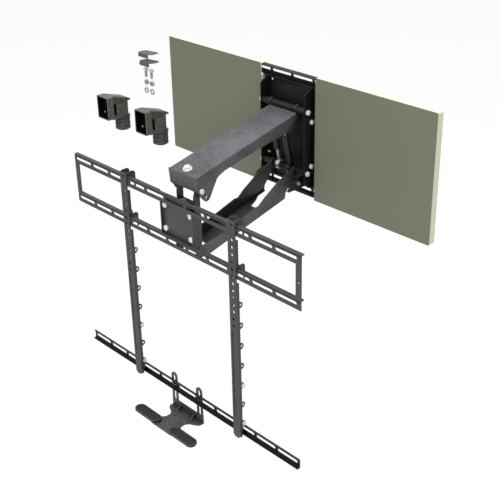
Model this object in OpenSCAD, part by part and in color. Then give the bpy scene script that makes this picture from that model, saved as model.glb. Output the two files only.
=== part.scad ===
// Pull-down television wall mount, shown with its arms lowered part of the way.
// Millimetres. X runs along the wall, Y into the wall, Z up.
// The origin is the middle of the wall plate's back face.

/* [Wall plate] */
// half length of the two slotted wall rails
rail_half = 310; // [300:5:330]
// height of each wall rail
wall_rail_h = 30; // [28:1:32]
// height of the lag-bolt slots above and below the middle
lag_slot_z = 156; // [155:0.5:158]
// length of a lag-bolt slot
lag_slot_l = 71; // [60:1:72]
// pitch of the lag-bolt slots
lag_pitch = 77.5; // [76:0.5:80]
// bolt slot width
slot_w = 9; // [8:0.5:10]
// how far the rail flanges stand out from the wall
wall_depth = 17; // [16:0.5:20]
// sheet steel thickness
steel = 3; // [2.5:0.25:3]

/* [Covers] */
// width of a plastic side cover
cover_w = 390; // [360:5:420]
// height of a plastic side cover
cover_h = 346; // [344:2:360]
// wall thickness of the covers
cover_t = 3; // [2:0.5:3]

/* [Arm bracket] */
// half distance between the two bracket cheeks
cheek_x = 80; // [78:1:86]
// pivot distance from the wall
pivot_y = 29; // [28:0.5:34]
// height of the upper pivot
pivot_up = 77; // [74:1:80]
// height of the lower pivot, below the middle
pivot_low = 97; // [94:1:99]
// diameter of every pivot pin
pin_d = 10; // [8:0.5:10]
// diameter of the white disc bolt heads
disc_d = 14; // [13:0.5:16]

/* [Arms] */
// length of both arms, pivot to pivot
arm_len = 370.4; // [360:0.4:390]
// angle of the arms below level as photographed
arm_drop = 19.56; // [18:0.5:21]
// half width of the upper arm
upper_x = 52; // [50:0.5:54]
// half width of the lower arm
lower_x = 42; // [41:0.5:43]
// outer diameter of the hinge tubes
tube_d = 20; // [18:0.5:22]

/* [Gas struts] */
// sideways place of each strut
strut_x = 20; // [18:0.5:22]
// diameter of a strut rod
rod_d = 8; // [7:0.5:9]
// diameter of a strut cylinder
strut_d = 16; // [15:0.5:18]

/* [Television frame] */
// width of the television frame
frame_w = 875; // [850:5:900]
// height of the frame over both rails
frame_h = 148; // [146:1:152]
// height of a frame rail
rail_h = 27; // [26:0.5:30]
// sideways shift of the frame on its yoke
frame_shift = 3.5; // [0:0.5:5]
// pitch of the slots in the frame and sound-bar rails
slot_pitch = 78.5; // [78:0.25:79]
// length of a rail slot
slot_l = 70; // [64:1:71]

/* [Brackets] */
// distance between the two upright brackets
bracket_gap = 420; // [400:10:440]
// height of the brackets
bracket_h = 635; // [630:5:650]
// width of a bracket
bracket_w = 26.5; // [25:0.5:28]
// pitch of the television bolt holes
hole_pitch = 20; // [19:0.5:20]
// diameter of the television bolt holes
hole_d = 8.5; // [6:0.25:9]

/* [Sound-bar shelf] */
// half length of the sound-bar rail
bar_half = 436; // [430:1:440]
// length of a rubber pad
pad_l = 101; // [95:1:110]
// width of a rubber pad
pad_w = 33; // [30:0.5:35]
// free gap between the two pads
pad_gap = 50; // [46:1:60]

/* [Handles] */
// diameter of a handle grip
grip_d = 40; // [38:0.5:42]
// length of a handle grip
grip_l = 80; // [79:1:90]
// distance between the two handles
handle_pitch = 160; // [150:2:180]

/* [Hidden] */
$fn = 48;
eps = 0.01;
run = 0.05;                      // radial clearance of a pin in its tube
pin_r = pin_d / 2;
tube_r = tube_d / 2;
lip_y = -wall_depth;             // front edge of the wall rail flanges
cover_y = lip_y - cover_t;       // front face of the covers
cover_x = 101;                   // inner edge of each cover
pan_y = -2 * steel;              // front face of the arm bracket's pan
pan_x = cover_x - 1;
pan_z = 143;
cheek_y = -41;                   // front edge of the cheeks
side_y = pan_y - 8.4;            // line of the bolts through the cheeks
rail_in = lag_slot_z + 12 - wall_rail_h;  // inner edge of a wall rail
rail_out = lag_slot_z + 12;               // outer edge of a wall rail
lug_x = 66;

a_pt = [-pivot_y, pivot_up];     // upper wall pivot, as [y, z]
c_pt = [-pivot_y, -pivot_low];   // lower wall pivot
function along(o, s, t) = [o[0] - s * cos(arm_drop) - t * sin(arm_drop),
                           o[1] - s * sin(arm_drop) + t * cos(arm_drop)];
b_pt = along(a_pt, arm_len, 0);  // upper pivot of the column
d_pt = along(c_pt, arm_len, 0);  // lower pivot of the column
// points of the arm outlines: s along the arm, t square to it
function ua(s, t) = along(a_pt, s, t);
function ub(s, t) = along(a_pt, arm_len + s, t);
function la(s, t) = along(c_pt, s, t);
function lb(s, t) = along(c_pt, arm_len + s, t);
// the upper arm's top plate rises from its wall end to its nose
top_from = [12, -1.4];
top_to = [3.5, 43.7];
top_tilt = atan2(top_to[1] - top_from[1], arm_len + top_to[0] - top_from[0]);
top_slope = arm_drop - top_tilt;
travel_s = -17;                  // place of the travel bolt along the arm
travel = ub(travel_s, top_to[1] - (top_to[0] - travel_s) * tan(top_tilt));

by = b_pt[0];                    // the television side hangs on these two
bz = b_pt[1];
dz = d_pt[1];
post_x = 30;                     // inner face of the column posts
swivel_y = by - 18;              // upright swivel axis
yoke_y = by - 37;                // front of the yoke web
yoke_x = 60;
frame_y = by - 47;               // front face of the frame rails
frame_top = bz - 19;
frame_bot = frame_top - frame_h;
flange_d = 11;                   // depth of the frame rails' top flanges
flange_ease = 4.5;               // less deep where the arm's ears pass
slot_dz = 12.7;                  // slot centre below a rail's top
br_y = frame_y - steel;          // front face of the brackets
br_rear = frame_y + 7;
br_top = bz - 10;
br_bot = br_top - bracket_h;
hook_y = frame_y + 28;
ear_pitch = 60;
ear_first = bz - 239;
clamp_ears = [4, 6];             // which ears carry the clamp bolts
tooth_pitch = 8.5;               // pitch of the small slots along a bracket
bar_y = frame_y + 17.5;          // back of the sound-bar rail web
bar_top = bz - 608.7;
bar_h = 27;
bar_t = 2;                       // its sheet, and the lip on its top edge
bar_lip = 5;
bar_slot_z = 12;                 // its slots, below its top
bar_slot_w = 9;
bar_bolt_z = 7.5;                // its bolts into the brackets, above its foot
bar_x = frame_shift - 13.5;
bar_depth = bar_y - br_rear - 0.3;
shelf_x = bar_x - 5;
shelf_z = bz - 698;              // top face of the shelf plate
tab_x = 53;
pad_y = by - 112;
strut_top = along(a_pt, 37.5, -18.5);  // where the struts reach the upper arm
strut_slot = along(a_pt, 40.8, -20.3); // middle of the slots they work in
strut_ang = atan2(strut_top[0] - c_pt[0], strut_top[1] - c_pt[1]);
strut_len = norm(strut_top - c_pt);
handle_x = frame_shift - 286;    // middle of the first handle's mouth
handle_y = frame_y + 5;
handle_z = bz + 148;

// which node to build

black = [0.30, 0.30, 0.28];
dark = [0.10, 0.10, 0.10];
olive = [0.45, 0.45, 0.40];
white = [0.90, 0.90, 0.88];
silver = [0.75, 0.75, 0.72];
rubber = [0.20, 0.20, 0.18];

// a sheet in the YZ plane from its outline, standing from x to x + t
module plate_x(x, t, pts) {
    translate([x, 0, 0]) rotate([90, 0, 90]) linear_extrude(t) polygon(pts);
}

// the same sheet on both sides of the middle
module plate_pair(x, t, pts) {
    plate_x(x, t, pts);
    plate_x(-x - t, t, pts);
}

// a block given by its two corners
module block(a, b) {
    translate(a) cube(b - a);
}

// a rod along X between two x values
module rod_x(x0, x1, p, d) {
    translate([x0, p[0], p[1]]) rotate([0, 90, 0])
        cylinder(d = d, h = x1 - x0);
}

// a rod along Y between two y values
module rod_y(y0, y1, x, z, d) {
    translate([x, y0, z]) rotate([-90, 0, 0]) cylinder(d = d, h = y1 - y0);
}

// a six-sided head along X
module hex_x(x0, x1, p, af) {
    translate([x0, p[0], p[1]]) rotate([0, 90, 0])
        cylinder(d = af / cos(30), h = x1 - x0, $fn = 6);
}

// a round-ended slot outline, long along its first direction
module stadium(l, w) {
    square([l - w, w], center = true);
    for (s = [-1, 1]) translate([s * (l - w) / 2, 0]) circle(d = w);
}

// a slot cut through Y, long along X
module slot_x(x, z, l, w, y0, y1) {
    translate([x, y0, z]) rotate([-90, 0, 0])
        linear_extrude(y1 - y0) stadium(l, w);
}

// a slot cut through Y, long along Z
module slot_z(x, z, l, w, y0, y1) {
    translate([x, y0, z]) rotate([-90, 0, 0])
        linear_extrude(y1 - y0) rotate([0, 0, 90]) stadium(l, w);
}

// a rectangle with rounded corners, about the middle
module round_rect(w, h, r) {
    square([w - 2 * r, h], center = true);
    square([w, h - 2 * r], center = true);
    for (x = [-1, 1], y = [-1, 1])
        translate([x * (w / 2 - r), y * (h / 2 - r)]) circle(r = r);
}

// a bent sheet channel in section: open below, rounded bends at the top
module channel_2d(w, h, t, r) {
    difference() {
        translate([0, -h / 2]) union() {
            round_rect(w, h, r);
            translate([-w / 2, -h / 2]) square([w, h / 2]);
        }
        translate([0, -t - h / 2]) union() {
            round_rect(w - 2 * t, h, r - t / 2);
            translate([t - w / 2, -h / 2]) square([w - 2 * t, h / 2]);
        }
    }
}

// Wall side

module wall_plate() {
    color(black) difference() {
        union() {
            for (s = [-1, 1]) {
                block([-rail_half, -steel, s > 0 ? rail_in : -rail_out],
                      [rail_half, 0, s > 0 ? rail_out : -rail_in]);
                block([-rail_half, lip_y, s > 0 ? rail_out - steel : -rail_out],
                      [rail_half, 0, s > 0 ? rail_out : steel - rail_out]);
                block([s > 0 ? rail_half - 30 : -rail_half, -steel, -rail_out],
                      [s > 0 ? rail_half : 30 - rail_half, 0, rail_out]);
            }
            block([-60, -steel, -rail_out], [60, 0, rail_out]);
        }
        for (i = [-3.5 : 3.5], s = [-1, 1])
            slot_x(i * lag_pitch, s * lag_slot_z, lag_slot_l, slot_w,
                   -steel - 1, 1);
    }
}

// points of a cheek, with its slanted top and cut bottom corner
cheek = [[-steel - 1, pan_z - 1], [-24, 134.5], [cheek_y + 5, 129], [cheek_y + 1, 126],
         [cheek_y, 121], [cheek_y, -121], [cheek_y + 2, -126],
         [-24, -140], [-20, 1 - pan_z], [-steel - 1, 1 - pan_z]];

module arm_bracket() {
    color(black) difference() {
        union() {
            block([-pan_x, pan_y, -pan_z], [pan_x, -steel, pan_z]);
            block([-pan_x, pan_y - 8, pan_z - steel], [pan_x, pan_y, pan_z]);
            block([-pan_x, pan_y - 4, -pan_z], [pan_x, pan_y, steel - pan_z]);
            plate_pair(cheek_x, steel, cheek);
        }
        slot_x(-10, 134, 70, 4, pan_y - 1, -steel + 1);
        rod_y(pan_y - 1, 1, -72, 130, 7);
        for (p = [a_pt, c_pt]) rod_x(-100, 100, p, pin_d);
        for (z = [47, -79]) rod_x(-100, 100, [side_y, z], 6);
        for (s = [-1, 1]) rod_y(pan_y - 1, 1, s * 92, 0, 6);
    }
}

module cover_tray(side) {
    x0 = cover_x;
    x1 = cover_x + cover_w;
    zh = cover_h / 2;
    color(olive) scale([side, 1, 1]) difference() {
        translate([(x0 + x1) / 2, cover_y, 0]) rotate([-90, 0, 0])
            linear_extrude(-cover_y) round_rect(cover_w, cover_h, 4);
        translate([(x0 + x1) / 2, lip_y, 0]) rotate([-90, 0, 0])
            linear_extrude(-lip_y + 1)
                round_rect(cover_w - 2 * cover_t, cover_h - 2 * cover_t, 2);
        for (s = [-1, 1])
            block([x0 - 1, lip_y, s * (rail_in + rail_out) / 2 - 16],
                  [x0 + cover_t + 1, 1, s * (rail_in + rail_out) / 2 + 16]);
    }
}

module cover_left() { cover_tray(-1); }
module cover_right() { cover_tray(1); }

module side_bolts() {
    color(white) for (s = [-1, 1], z = [47, -79]) scale([s, 1, 1]) {
        rod_x(cheek_x - 6, cheek_x + steel + 1, [side_y, z], 6);
        rod_x(cheek_x + steel, cheek_x + steel + 4, [side_y, z], disc_d - 1);
    }
}

lug = [[-steel * 2, -pan_z + steel], [-84, -140], [-89, -137], [-73, -118],
       [-40, -pivot_low - tube_r - 1], [-steel * 2, -pivot_low - tube_r - 1]];

module stop_lugs() {
    color(dark) difference() {
        plate_pair(lug_x - steel / 2, steel, lug);
        for (s = [-1, 1]) rod_x(s * lug_x - 5, s * lug_x + 5, [-48, -124], 6);
    }
}

module stop_lug_bolts() {
    color(silver) for (s = [-1, 1]) scale([s, 1, 1]) {
        rod_x(lug_x - 6, lug_x + 2, [-48, -124], 6);
        hex_x(lug_x + steel / 2, lug_x + steel / 2 + 4, [-48, -124], 10);
        hex_x(lug_x - steel / 2 - 4, lug_x - steel / 2, [-48, -124], 10);
    }
}

// a pivot pin with a white disc head on the right and a nut on the left
module pivot_pin(p, x, head) {
    color(white) {
        rod_x(-x - 9, x + 1, p, pin_d);
        rod_x(x, x + 4.5, p, head);
        hex_x(-x - 7, -x, p, 15);
    }
}

module wall_pin_upper() { pivot_pin(a_pt, cheek_x + steel, disc_d); }
module wall_pin_lower() { pivot_pin(c_pt, cheek_x + steel, disc_d); }

// Upper arm

upper_outline = [
    ub(top_to[0], top_to[1]), ua(top_from[0], top_from[1]), ua(6.6, -15.7), ua(69.6, -31.5),
    ua(110.2, -23.5), ua(154.4, -16.3), ub(-151, -4.9), ub(-87, 3),
    ub(-64, 2.4), ub(-57, -0.5), ub(-39.3, -15), ub(-22, -31), ub(-17, -35),
    ub(-11.5, -37), ub(-5, -36.5), ub(-0.5, -33), ub(3, -26), ub(6.6, -16),
    ub(7, -8.8), ub(13.2, 4.7)];

module upper_arm() {
    sheet_l = arm_len + 2;
    color(black) difference() {
        union() {
            intersection() {
                plate_x(-upper_x, 2 * upper_x, upper_outline);
                translate([0, ua(top_from[0], top_from[1])[0], ua(top_from[0], top_from[1])[1]])
                    rotate([90 + top_slope, 0, 0]) translate([0, 0, -20])
                        linear_extrude(sheet_l + 40)
                            channel_2d(2 * upper_x, 130, steel, 5);
            }
            plate_x(-upper_x, 2 * upper_x,
                [ub(top_to[0], top_to[1]), ub(top_to[0] - steel, 43.3), ub(13.2 - steel, 6),
                 ub(13.2, 4.7)]);
        }
        rod_x(-100, 100, b_pt, pin_d);
        for (s = [-1, 1]) translate([s * upper_x, ub(-9, -26)[0], ub(-9, -26)[1]])
            rotate([0, 90, 0]) linear_extrude(10, center = true)
                rotate([0, 0, -arm_drop]) stadium(9, 5);
        translate([0, travel[0], travel[1]]) rotate([top_slope, 0, 0])
            cylinder(d = 8.4, h = 20, center = true);
    }
}

module upper_hinge_tube() {
    color(black) difference() {
        rod_x(-cheek_x + 0.3, cheek_x - 0.3, a_pt, tube_d);
        rod_x(-cheek_x, cheek_x, a_pt, pin_d + 2 * run);
    }
}

module upper_gussets() {
    ring_r = 14;
    color(black) difference() {
        union() {
            plate_pair(upper_x - 2 * steel, steel,
                [ua(15, 5.6), ua(66, -4), ua(66, -12), ua(63.7, -38.9), ua(8.7, -39.4),
                 ua(3, -35), ua(-15, -8), ua(-16, 0), ua(0, 15)]);
            for (s = [-1, 1]) rod_x(s * (upper_x - 1.5 * steel) - steel / 2,
                s * (upper_x - 1.5 * steel) + steel / 2, a_pt, 2 * ring_r);
        }
        rod_x(-100, 100, a_pt, tube_d);
        // room for the bend of the top plate
        plate_x(-100, 200, [ua(8.6, 30), ua(8.6, -9.4), ua(66, -1.6), ua(66, 30)]);
    }
}

// slotted plates under the upper arm that the strut heads work in
module strut_lugs() {
    color(black) difference() {
        for (s = [-1, 1], w = [-1, 1])
            plate_x(s * strut_x + w * 11.5 - steel / 2, steel,
                [ua(16, -4), ua(84, 4.4), ua(84, -27), ua(68, -35), ua(22, -33)]);
        for (s = [-1, 1]) translate([s * strut_x, strut_slot[0], strut_slot[1]])
            rotate([90, 0, 90]) linear_extrude(40, center = true)
                rotate([0, 0, arm_drop]) stadium(33, 18);
    }
}

module travel_bolt() {
    color(white) translate([0, travel[0], travel[1]]) rotate([top_slope, 0, 0]) {
        translate([0, 0, -8]) cylinder(d = 8, h = 12);
        cylinder(d = 25, h = 2);
        translate([0, 0, 2]) cylinder(d = 20, h = 6, $fn = 6);
        translate([0, 0, 7]) cylinder(d = 14, h = 2.5);
    }
}

module column_pin_upper() { pivot_pin(b_pt, upper_x, disc_d); }

// Lower arm

lower_outline = [
    lb(0, 16), lb(-9, 15), lb(-94, -0.6), lb(-135.6, -3.6), la(169, -6.8),
    la(155.8, -11.5), la(129.4, -2.8), la(71, 9.3), la(27.1, 11.5), la(10, 13.5),
    la(0, 14), la(-10, 9.8), la(-14, 0), la(-10, -9.8), la(0, -14), la(14, -15),
    la(22, -18), la(57.4, -39), la(65.6, -53.1), la(212.6, -36.9),
    lb(-23.6, -23.2), lb(-10, -20.5), lb(0, -16), lb(9.8, -12.6), lb(14.8, -6),
    lb(16, 0), lb(14.8, 6), lb(9.8, 12.6)];

module lower_arm() {
    color(black) difference() {
        union() {
            plate_pair(lower_x - steel, steel, lower_outline);
            plate_x(-lower_x + eps, 2 * lower_x - 2 * eps,
                [la(65.6, -53.1), la(212.6, -36.9), lb(-46, -25),
                 lb(-46, -25 + steel), la(212.6, -36.9 + steel),
                 la(65.6, -53.1 + steel)]);
        }
        rear = 34;
        translate([0, 0, d_pt[1]]) linear_extrude(200)
            polygon([[-rear, -60], [-rear, la(77, 0)[0]], [-24, -119], [-15, -148],
                     [15, -148], [24, -119], [rear, la(77, 0)[0]], [rear, -60]]);
        translate([3, la(165, 0)[0], c_pt[1] - 150]) cylinder(d = 5, h = 100);
        rod_x(-100, 100, d_pt, pin_d);
        rod_x(-100, 100, c_pt, tube_d);
    }
}

module lower_hinge_tube() {
    color(black) difference() {
        rod_x(-cheek_x + 0.3, cheek_x - 0.3, c_pt, tube_d);
        rod_x(-cheek_x, cheek_x, c_pt, pin_d + 2 * run);
    }
}

module lower_stop_lug() {
    x = lower_x - 2 * steel;
    color(dark) difference() {
        plate_x(x, steel, [la(232, -6), la(234, 10), la(237, 14), la(246, 14.5),
            la(250, 10), la(250, -4), la(250, -20), la(232, -20)]);
        rod_x(x - 1, x + steel + 1, la(241, 5), 5);
    }
}

module column_pin_lower() { pivot_pin(d_pt, lower_x, disc_d - 1); }

// Column

module column_posts() {
    top_r = 8.5;
    foot = dz - 13;
    post = [[by - 6.5, bz - 4], [by - 6.5, bz - 10.5], [by - 10, bz - 17],
            [by - 10, foot + 4], [by - 6, foot], [by + 5, foot],
            [by + 9, foot + 4], [by + 9, bz - 12], [by + 6.5, bz - 4]];
    color(dark) difference() {
        union() {
            plate_pair(post_x, 5, post);
            for (s = [-1, 1]) rod_x(s * (post_x + 2.5) - 2.5,
                s * (post_x + 2.5) + 2.5, b_pt, 2 * top_r);
            block([-post_x - 1, by + 6, dz + 12], [post_x + 1, by + 9, bz - 44]);
        }
        rod_x(-100, 100, b_pt, 2 * top_r - 3);
        rod_x(-100, 100, d_pt, 17);
    }
}

module column_sleeves() {
    color(dark) {
        difference() {
            rod_x(-upper_x + steel + 0.3, upper_x - steel - 0.3, b_pt, 14);
            rod_x(-100, 100, b_pt, pin_d + 2 * run);
        }
        difference() {
            rod_x(-lower_x + steel + 0.3, lower_x - steel - 0.3, d_pt, 17);
            rod_x(-100, 100, d_pt, pin_d + 0.6);
        }
    }
}

lug_top = -40;                   // swivel lug tops, counted from the pivots
lug_low = -135;
module swivel_lugs() {
    color(dark) difference() {
        for (z = [lug_top, lug_low]) translate([0, 0, bz + z - 6]) {
            translate([0, swivel_y, 0]) cylinder(r = 12, h = 6);
            translate([-12, swivel_y, 0]) cube([24, by + 6 - swivel_y, 6]);
            translate([-post_x, by - 9, 0]) cube([2 * post_x, 15, 6]);
        }
        translate([0, swivel_y, bz - 200]) cylinder(d = pin_d, h = 200);
    }
}

module swivel_pin() {
    top = bz + lug_top;
    low = bz + lug_low - 6;
    color(silver) translate([0, swivel_y, 0]) {
        translate([0, 0, low - 9]) cylinder(d = pin_d, h = top - low + 10);
        translate([0, 0, low - 7]) cylinder(d = 17 / cos(30), h = 7, $fn = 6);
        translate([0, 0, top]) cylinder(d = 19, h = 2);
        translate([0, 0, top + 2]) cylinder(d = 15 / cos(30), h = 6, $fn = 6);
    }
}

// Television side

yoke_side = [[yoke_y - 7, bz - 40], [yoke_y + 5, bz - 49], [by - 15, bz - 51],
             [by - 13, bz - 54], [by - 13, bz - 132], [by - 19, bz - 143], [yoke_y - 7, bz - 143]];
bolt_z = [bz - 56, bz - 122];
tongue_x = 44;                   // half width of the tongue on its web

module yoke() {
    color(dark) difference() {
        union() {
            block([-yoke_x - steel, yoke_y, bz - 143],
                  [yoke_x + steel, yoke_y + steel, bz - 47]);
            block([-tongue_x, yoke_y, bz - 48], [tongue_x, yoke_y + steel, bz - 23]);
            plate_pair(yoke_x, steel, yoke_side);
        }
        rod_x(-100, 100, [by - 29, bz - 118], 6);
        for (z = bolt_z, x = [-50, 50])
            rod_y(yoke_y - 1, yoke_y + steel + 1, x, z, 8);
    }
}

module yoke_bolts() {
    color(white) for (z = bolt_z, x = [-50, 50]) {
        rod_y(yoke_y - 4, yoke_y, x, z, disc_d + 1.5);
        rod_y(yoke_y, yoke_y + 9, x, z, 8);
        translate([x, yoke_y + steel, z]) rotate([-90, 0, 0])
            cylinder(d = 13 / cos(30), h = 5, $fn = 6);
    }
}

module swivel_hub() {
    z0 = bz + lug_low + 0.3;
    z1 = bz + lug_top - 6.3;
    color(dark) difference() {
        union() {
            translate([0, swivel_y, z0]) cylinder(r = 12, h = z1 - z0);
            block([-8, yoke_y + steel, z0 + 6], [8, swivel_y, z1 - 6]);
        }
        translate([0, swivel_y, z0 - 1])
            cylinder(d = pin_d + 2 * run, h = z1 - z0 + 2);
    }
}

// one slotted rail of the frame, with its deep top flange and groove
module frame_rail(top) {
    x0 = frame_shift - frame_w / 2;
    x1 = frame_shift + frame_w / 2;
    mid = yoke_x + steel + 4;
    color(black) difference() {
        union() {
            block([x0, frame_y, top - rail_h], [x1, frame_y + steel, top]);
            block([x0, frame_y, top - steel], [x1, frame_y + flange_d, top]);
        }
        block([-mid, frame_y + flange_d - flange_ease, top - steel - 1],
              [mid, frame_y + flange_d + 1, top + 1]);
        block([x0 - 1, frame_y - 1, top - 5.5], [x1 + 1, frame_y + 1.8, top - 2.5]);
        for (i = [-5 : 5])
            slot_x(i * slot_pitch, top - slot_dz, slot_l, slot_w,
                   frame_y - 1, frame_y + steel + 1);
    }
}

module frame_top_rail() { frame_rail(frame_top); }
module frame_bottom_rail() {
    top = frame_bot + rail_h + 4;
    difference() {
        frame_rail(top);
        // slits in its flange that the yoke's sides stand in
        for (s = [-1, 1])
            block([s * (yoke_x + steel / 2) - steel / 2 - 0.2, frame_y + steel,
                   top - steel - 1],
                  [s * (yoke_x + steel / 2) + steel / 2 + 0.2, frame_y + flange_d + 1,
                   top + 1]);
    }
}

module frame_end_bars() {
    end_w = 17;
    low = frame_bot + rail_h + 4;
    color(black) for (s = [-1, 1]) difference() {
        x = frame_shift + s * (frame_w / 2 - end_w / 2);
        block([x - end_w / 2, frame_y, low],
              [x + end_w / 2, frame_y + steel, frame_top - rail_h]);
        rod_y(frame_y - 1, frame_y + steel + 1, x, frame_top - 74, 6);
    }
}

// outline of a bracket flange: hooks over both rails, notched behind the web
flange_low = frame_bot + rail_h + 4;
bracket_side = [
    [br_y, br_top], [br_y + 8, br_top + 3], [hook_y - 7, br_top + 3],
    [hook_y - 2, br_top], [hook_y, br_top - 5], [hook_y, frame_top - 34],
    [hook_y - 5, frame_top - 34], [hook_y - 5, br_top - 19],
    [frame_y + flange_d + 1, br_top - 19],
    [frame_y + flange_d + 1, frame_top], [frame_y, frame_top],
    [frame_y, frame_top - 38], [br_rear, frame_top - 40],
    [br_rear, flange_low + 12], [br_rear + 4, flange_low + 8],
    [hook_y - 5, flange_low + 8], [hook_y, flange_low + 3],
    [hook_y, flange_low - 34], [hook_y - 5, flange_low - 34],
    [hook_y - 5, flange_low - 10], [frame_y + flange_d + 1, flange_low - 10],
    [frame_y + flange_d + 1, flange_low], [frame_y, flange_low],
    [frame_y, flange_low - 38], [br_rear, flange_low - 40],
    [br_rear, br_bot + 10], [br_rear - 4, br_bot + 2], [br_y, br_bot + 8]];

module bracket(x) {
    sheet = 2;
    w = bracket_w / 2;
    color(olive) translate([x, 0, 0]) difference() {
        union() {
            difference() {
                block([-w, br_y, br_bot], [w, frame_y, br_top]);
                for (s = [-1, 1]) translate([s * w, 0, br_bot]) rotate([0, 45, 0])
                    cube([9, 50 - 2 * br_y, 9], center = true);
            }
            plate_x(-w, sheet, bracket_side);
            plate_x(w - sheet, sheet, bracket_side);
            for (s = [-1, 1], i = [0 : 6])
                rod_x(s * (w - sheet / 2) - sheet / 2,
                      s * (w - sheet / 2) + sheet / 2,
                      [br_rear + 1.5, ear_first - i * ear_pitch], 18);
        }
        rod_y(br_y - 1, frame_y + 1, 0, bz - 20, 6);
        for (i = [0 : 12])
            rod_y(br_y - 1, frame_y + 1, 0, bz - 60 - i * hole_pitch, hole_d);
        for (i = [0 : 30])
            block([-7.5, br_y - 1, bz - 324.5 - i * tooth_pitch],
                  [-2.5, frame_y + 1, bz - 319.5 - i * tooth_pitch]);
        for (i = [0 : 6])
            rod_x(-50, 50, [br_rear + 4, ear_first - i * ear_pitch], 6.5);
    }
}

module bracket_left() { bracket(frame_shift - bracket_gap / 2); }
module bracket_right() { bracket(frame_shift + bracket_gap / 2); }

// the adjustable bar nested in the lower half of each bracket, with ears
// where the clamp bolts hold it
module extension(x) {
    w = bracket_w / 2 - 2 - 0.2;
    color(dark) translate([x, 0, 0]) difference() {
        union() {
            block([-w, frame_y, br_bot + 12], [w, br_rear - 0.3, ear_first - 40]);
            for (s = [-1, 1], i = clamp_ears)
                rod_x(s * (w - 1) - 1, s * (w - 1) + 1,
                      [br_rear + 1.5, ear_first - i * ear_pitch], 16);
        }
        block([2 - w, frame_y + 2, br_bot], [w - 2, br_rear + 20, bz]);
        for (i = clamp_ears)
            rod_x(-50, 50, [br_rear + 4, ear_first - i * ear_pitch], 6);
    }
}

module extension_left() { extension(frame_shift - bracket_gap / 2); }
module extension_right() { extension(frame_shift + bracket_gap / 2); }

module clamp_bolts() {
    w = bracket_w / 2;
    color(white) for (s = [-1, 1], i = clamp_ears)
        translate([frame_shift + s * bracket_gap / 2, 0, 0]) {
            p = [br_rear + 4, ear_first - i * ear_pitch];
            rod_x(-w - 6, w + 1, p, 6);
            rod_x(w, w + 4, p, 12);
            hex_x(-w - 4.5, -w, p, 10);
        }
}

// the sound-bar rail: a channel open to the room, slotted high on its web
module sound_bar_rail() {
    low = bar_top - bar_h;
    y0 = bar_y - bar_t;
    bend = 5;
    color(black) difference() {
        union() {
            block([bar_x - bar_half, y0, low], [bar_x + bar_half, bar_y, bar_top]);
            block([bar_x - bar_half, bar_y - bar_lip, bar_top - bar_t],
                  [bar_x + bar_half, bar_y, bar_top]);
            block([bar_x - bar_half, bar_y - bar_depth, low],
                  [bar_x + bar_half, bar_y, low + bar_t]);
            difference() {
                block([bar_x - bar_half, y0 - bend, low],
                      [bar_x + bar_half, y0, low + bar_t + bend]);
                rod_x(bar_x - bar_half - 1, bar_x + bar_half + 1,
                      [y0 - bend, low + bar_t + bend], 2 * bend);
            }
        }
        for (i = [-5 : 5])
            slot_x(bar_x + i * slot_pitch, bar_top - bar_slot_z, slot_l, bar_slot_w,
                   y0 - 1, bar_y + 1);
        for (s = [-1, 1]) {
            x = frame_shift + s * bracket_gap / 2;
            rod_y(y0 - 1, bar_y + 1, x, low + bar_bolt_z, 5.4);
            rod_y(y0 - bend - 1, y0, x, low + bar_bolt_z, 9.6);
        }
    }
}

module bar_bolts() {
    color(white) for (s = [-1, 1]) {
        x = frame_shift + s * bracket_gap / 2;
        z = bar_top - bar_h + bar_bolt_z;
        rod_y(frame_y + 2, bar_y + 1, x, z, 5);
        rod_y(bar_y, bar_y + 3.5, x, z, 9);
        rod_y(frame_y + 2, bar_y - bar_t, x, z, 9);
    }
}

module shelf_plate() {
    y0 = bar_y;
    y1 = bar_y + steel;
    low = shelf_z - steel;
    tab_top = bar_top + 24;
    waist = 33;
    foot = 66;
    front = pad_y - pad_w / 2;
    reach = pad_gap / 2 + pad_l;
    color(black) difference() {
        union() {
            for (s = [-1, 1]) {
                block([shelf_x + s * tab_x - 12, y0, low],
                      [shelf_x + s * tab_x + 12, y1, tab_top - 12]);
                rod_y(y0, y1, shelf_x + s * tab_x, tab_top - 12, 24);
                // gusset ribs inside the bend
                plate_x(shelf_x + s * 30 - 1.5, 3,
                    [[y0, shelf_z], [y0 - 16, shelf_z], [y0, shelf_z + 16]]);
            }
            block([shelf_x - foot, y0, low], [shelf_x + foot, y1, shelf_z + 22]);
            translate([shelf_x, 0, low]) linear_extrude(steel) {
                polygon([[-foot, y1], [-foot, y0 - 10], [-foot + 3, y0 - 16],
                    [-foot + 9, y0 - 20], [-waist - 8, y0 - 28],
                    [-waist, y0 - 38], [-waist, y0 - 52],
                    [-waist - 10, pad_y + pad_w / 2],
                    [-waist - 10, front], [waist + 10, front],
                    [waist + 10, pad_y + pad_w / 2], [waist, y0 - 52],
                    [waist, y0 - 38], [waist + 8, y0 - 28],
                    [foot - 9, y0 - 20], [foot - 3, y0 - 16],
                    [foot, y0 - 10], [foot, y1]]);
                translate([0, pad_y]) stadium(2 * reach - 4, pad_w - 4);
            }
        }
        for (s = [-1, 1]) {
            slot_z(shelf_x + s * tab_x, (tab_top - 9 + shelf_z + 22) / 2,
                   tab_top - 9 - shelf_z - 22, 8.5, y0 - 1, y1 + 1);
            translate([shelf_x + s * (pad_gap / 2 + 12), pad_y, low - 1])
                cylinder(d = 5, h = steel + 2);
        }
    }
}

module shelf_bolts() {
    color(white) for (s = [-1, 1]) {
        x = shelf_x + s * tab_x;
        z = bar_top - bar_slot_z;
        rod_y(bar_y - bar_t - 1, bar_y + steel + 7, x, z, 6);
        rod_y(bar_y - bar_t - 3, bar_y - bar_t, x, z, 12);
        translate([x, bar_y + steel, z]) rotate([-90, 0, 0])
            cylinder(d = 12 / cos(30), h = 5, $fn = 6);
    }
}

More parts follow.
